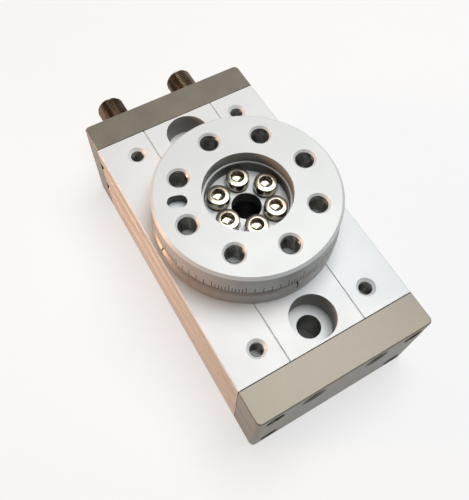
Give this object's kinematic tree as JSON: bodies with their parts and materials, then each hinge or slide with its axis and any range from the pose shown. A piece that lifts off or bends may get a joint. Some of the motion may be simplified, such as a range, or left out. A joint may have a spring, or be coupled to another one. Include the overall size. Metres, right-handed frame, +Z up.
{
  "type": "pneumatic rotary actuator",
  "caption": "Pneumatic rotary table: long rectangular housing with rack pistons, round turntable with a degree scale, air ports at one end and adjusting studs at the other.",
  "frame": {"origin": "on the table's axis, in the plane of the housing's base", "axes": "+Z up along the table's axis, +X towards the end cover with the air ports, +Y completes the frame"},
  "size_m": [0.1566, 0.0706, 0.0583],
  "materials": {
    "body_aluminium": "satin clear anodised, bead blasted",
    "cover_aluminium": "warm grey anodised, fine blasted",
    "table_aluminium": "satin clear anodised, turned",
    "ring_aluminium": "satin clear anodised, turned",
    "rack_steel": "ground alloy steel, nitrided",
    "shaft_steel": "machined alloy steel",
    "bearing_steel": "polished bearing steel",
    "screw_steel": "nickel plated steel",
    "dark_screw_steel": "dark oxide steel",
    "stud_steel": "bronze brown oxide steel",
    "seal_rubber": "matt black nitrile",
    "pad_rubber": "amber urethane",
    "wear_plastic": "natural acetal",
    "magnet_black": "bonded magnet",
    "plug_brass": "turned brass"
  },
  "bodies": {
    "housing": {"housing": "body_aluminium", "near_end_cover": "cover_aluminium", "far_end_cover": "cover_aluminium", "near_gasket": "seal_rubber", "far_gasket": "seal_rubber", "near_cover_screws": "dark_screw_steel", "far_cover_screws": "dark_screw_steel", "passage_plugs": "plug_brass", "index_ring": "ring_aluminium", "index_ring_screws": "dark_screw_steel", "dust_seal": "seal_rubber", "upper_bearing_outer_race": "bearing_steel", "lower_bearing_outer_race": "bearing_steel", "sealing_washer_a": "seal_rubber", "lock_nut_a": "stud_steel", "sealing_washer_b": "seal_rubber", "lock_nut_b": "stud_steel"},
    "turntable": {"pinion_shaft": "shaft_steel", "table": "table_aluminium", "table_screws": "screw_steel", "table_dowel": "bearing_steel", "upper_bearing_inner_race": "bearing_steel", "lower_bearing_inner_race": "bearing_steel"},
    "rack_a": {"rack_piston_a": "rack_steel", "piston_seals_a": "seal_rubber", "wear_rings_a": "wear_plastic", "rack_magnets_a": "magnet_black"},
    "rack_b": {"rack_piston_b": "rack_steel", "piston_seals_b": "seal_rubber", "wear_rings_b": "wear_plastic", "rack_magnets_b": "magnet_black"},
    "adjuster_a": {"adjusting_stud_a": "stud_steel", "cushion_pad_a": "pad_rubber"},
    "adjuster_b": {"adjusting_stud_b": "stud_steel", "cushion_pad_b": "pad_rubber"}
  },
  "joints": [
    {"name": "table_turn", "type": "hinge", "parent": "housing", "child": "turntable", "pos_m": [0, 0, 0.02], "axis": [0, 0, 1], "range_deg": [-75, 115]},
    {"name": "rack_a_slide", "type": "slide", "parent": "housing", "child": "rack_a", "axis": [1, 0, 0], "range_m": [-0.01808, 0.0118]},
    {"name": "rack_b_slide", "type": "slide", "parent": "housing", "child": "rack_b", "axis": [1, 0, 0], "range_m": [-0.0118, 0.01808]},
    {"name": "adjuster_a_slide", "type": "slide", "parent": "housing", "child": "adjuster_a", "axis": [-1, 0, 0], "range_m": [0, 0.005]},
    {"name": "adjuster_b_slide", "type": "slide", "parent": "housing", "child": "adjuster_b", "axis": [-1, 0, 0], "range_m": [0, 0.005]}
  ],
  "couplings": [
    {"joint": "rack_a_slide", "follows": "table_turn", "m_per_rad": -0.009},
    {"joint": "rack_b_slide", "follows": "table_turn", "m_per_rad": 0.009}
  ]
}
